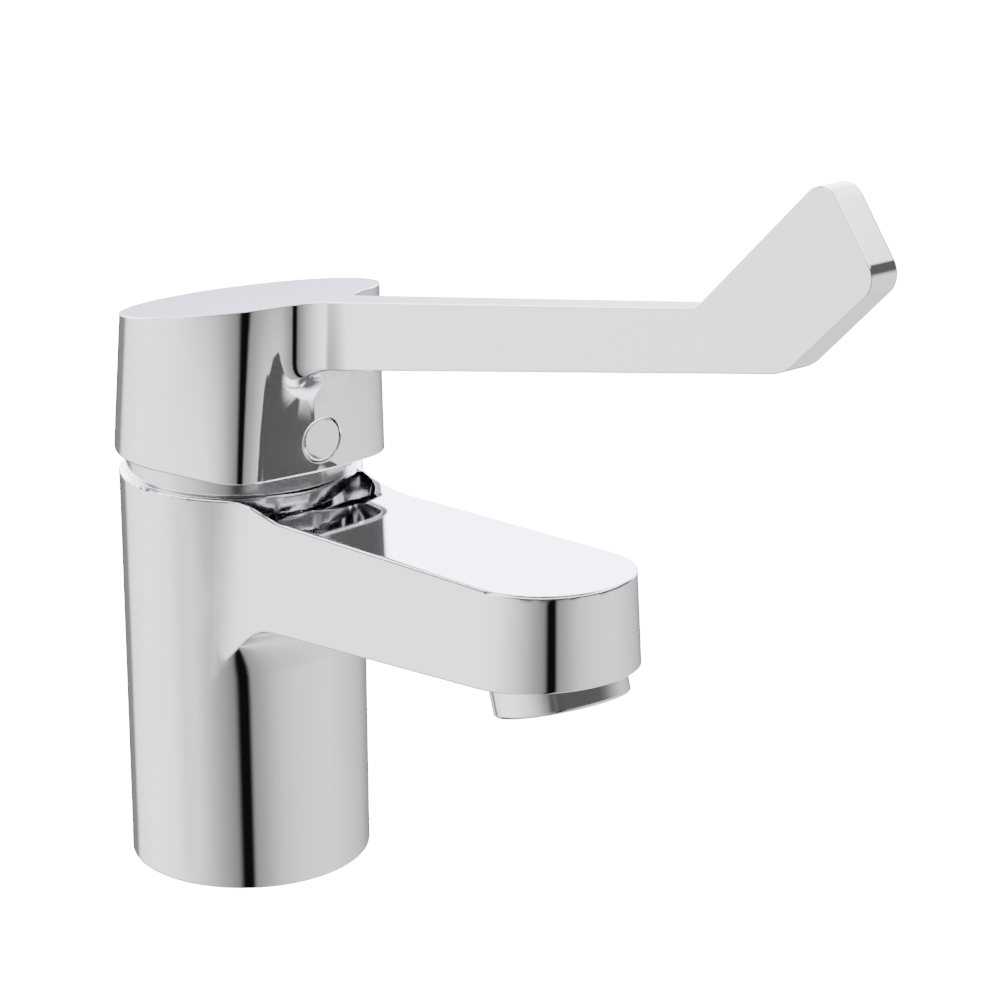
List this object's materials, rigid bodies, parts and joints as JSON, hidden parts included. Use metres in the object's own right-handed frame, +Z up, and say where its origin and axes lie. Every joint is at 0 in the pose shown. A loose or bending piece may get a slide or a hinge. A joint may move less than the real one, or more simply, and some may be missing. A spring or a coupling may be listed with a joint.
{
  "type": "elbow lever tap",
  "caption": "Single-lever basin mixer tap with a round column, a flat cast spout with an angled aerator and a long flat elbow lever with a bent paddle, all chromed.",
  "frame": {"origin": "centre of the tap's round base, on the surface that it stands on", "axes": "+Z up along the column's axis; the spout and the lever point along -Y; the YZ plane is the plane of symmetry"},
  "size_m": [0.049, 0.1899, 0.1605],
  "materials": {
    "chromed_brass": "bright chrome plating, polished",
    "bare_brass": "turned",
    "steel": "stainless, satin",
    "black_rubber": "matt",
    "white_plastic": "moulded acetal",
    "grey_plastic": "moulded",
    "ceramic": "lapped ceramic"
  },
  "bodies": {
    "tap": {"tap_body": "chromed_brass", "connection_block": "bare_brass", "base_gasket": "black_rubber", "trim_ring": "chromed_brass", "trim_ring_seal": "black_rubber", "cartridge_nut": "bare_brass", "cartridge_housing": "white_plastic", "housing_seal": "black_rubber", "cartridge_base": "white_plastic", "seat_seals": "black_rubber", "disc_seals": "black_rubber", "fixed_disc": "ceramic", "aerator_collar": "chromed_brass", "aerator_washer": "black_rubber", "aerator_insert": "grey_plastic", "aerator_grille": "grey_plastic"},
    "turret": {"turret": "white_plastic", "pivot_pin": "steel"},
    "carrier": {"disc_carrier": "white_plastic", "moving_disc": "ceramic"},
    "lever": {"lever_handle": "chromed_brass", "spindle": "bare_brass", "grub_screw": "steel", "indicator_plug": "chromed_brass"}
  },
  "joints": [
    {"name": "swivel", "type": "hinge", "parent": "tap", "child": "turret", "pos_m": [0, 0, 0.082], "axis": [0, 0, 1], "range_deg": [-50, 50]},
    {"name": "lift", "type": "hinge", "parent": "turret", "child": "lever", "pos_m": [0, 0, 0.082], "axis": [-1, 0, 0], "range_deg": [0, 15]},
    {"name": "disc_slide", "type": "slide", "parent": "turret", "child": "carrier", "axis": [0, -1, 0], "range_m": [0, 0.00391]}
  ],
  "couplings": [
    {"joint": "disc_slide", "follows": "lift", "m_per_rad": 0.014928}
  ]
}
